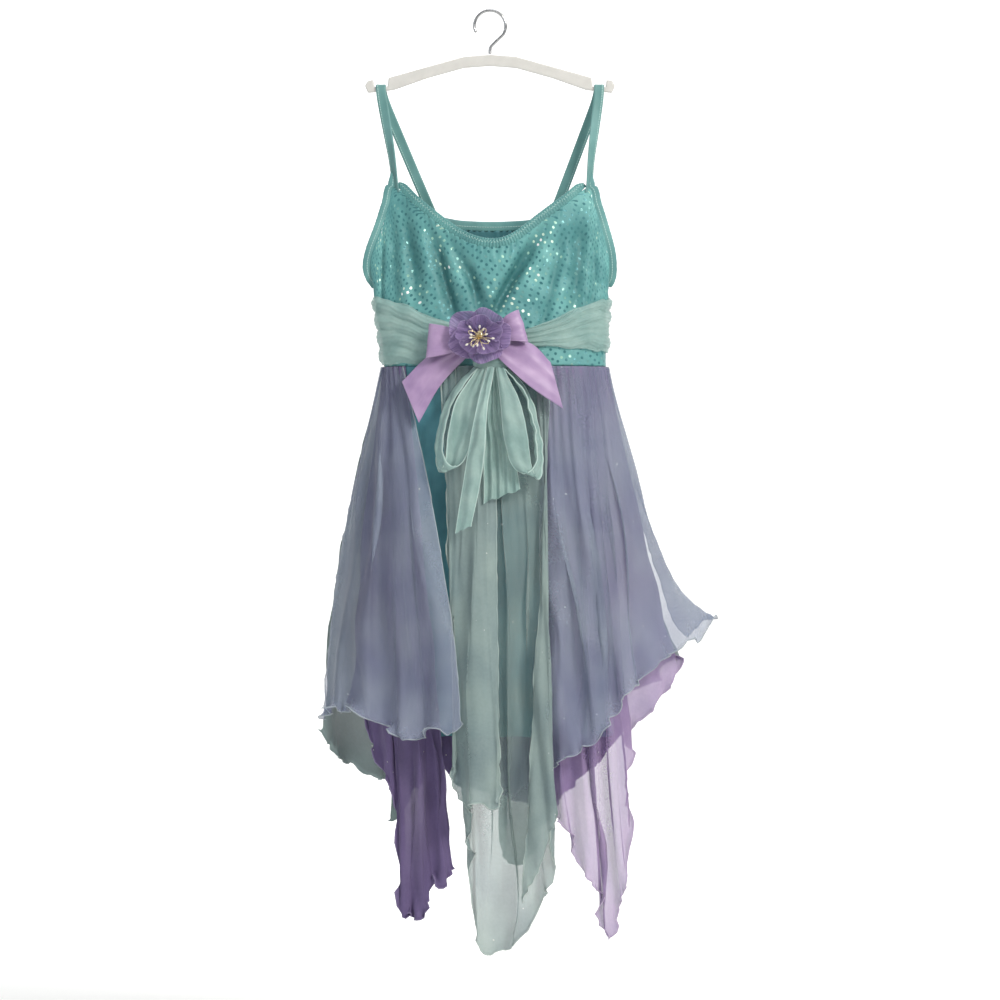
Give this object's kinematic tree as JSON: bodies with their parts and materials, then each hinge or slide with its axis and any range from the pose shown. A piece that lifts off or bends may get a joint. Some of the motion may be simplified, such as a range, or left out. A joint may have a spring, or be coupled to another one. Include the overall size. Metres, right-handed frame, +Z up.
{
  "type": "lyrical dance dress on a hanger",
  "caption": "Child's camisole dance dress with foil-dot bodice, tied chiffon sash, flower bow and handkerchief skirt over a short lining, hanging on a plain hanger.",
  "frame": {"origin": "inner crown of the hanger's hook, where it rests on a rail", "axes": "+Z up, -Y the front of the dress, +X the wearer's left, which is at the right in a front view"},
  "size_m": [0.393, 0.199, 0.9382],
  "materials": {
    "foil_dot_knit": "aqua stretch knit with small flat foil dots",
    "plain_knit": "aqua stretch knit, soft sheen",
    "mint_chiffon": "sheer mint crepe chiffon",
    "lilac_chiffon": "sheer lilac chiffon",
    "satin_ribbon": "lilac satin ribbon",
    "organza": "purple organza petals",
    "gilt": "gilt wire stamens with pearly tips",
    "hanger_plastic": "pale moulded plastic",
    "hook_steel": "plated steel wire"
  },
  "bodies": {
    "root": {"bodice_front": "foil_dot_knit", "neck_casing_front": "foil_dot_knit", "bodice_back": "plain_knit", "neck_binding_back": "plain_knit", "armhole_binding_left": "plain_knit", "armhole_binding_right": "plain_knit", "strap_left": "plain_knit", "strap_right": "plain_knit", "skirt_lining": "plain_knit", "sash_wrap": "mint_chiffon", "sash_knot": "mint_chiffon", "sash_loop_left": "mint_chiffon", "sash_loop_right": "mint_chiffon", "sash_tail_left": "mint_chiffon", "sash_tail_right": "mint_chiffon", "skirt_over_left": "mint_chiffon", "skirt_over_centre_short": "mint_chiffon", "skirt_over_centre_long": "mint_chiffon", "skirt_over_right": "mint_chiffon", "skirt_over_back_left": "mint_chiffon", "skirt_over_back_right": "mint_chiffon", "skirt_under_left": "lilac_chiffon", "skirt_under_right": "lilac_chiffon", "skirt_under_back": "lilac_chiffon", "bow_knot": "satin_ribbon", "bow_loop_left": "satin_ribbon", "bow_loop_right": "satin_ribbon", "bow_tail_left": "satin_ribbon", "bow_tail_right": "satin_ribbon", "flower_outer_petals": "organza", "flower_inner_petals": "organza", "flower_stamens": "gilt", "flower_boss": "gilt", "hanger_body": "hanger_plastic", "hanger_hook": "hook_steel"}
  },
  "joints": []
}
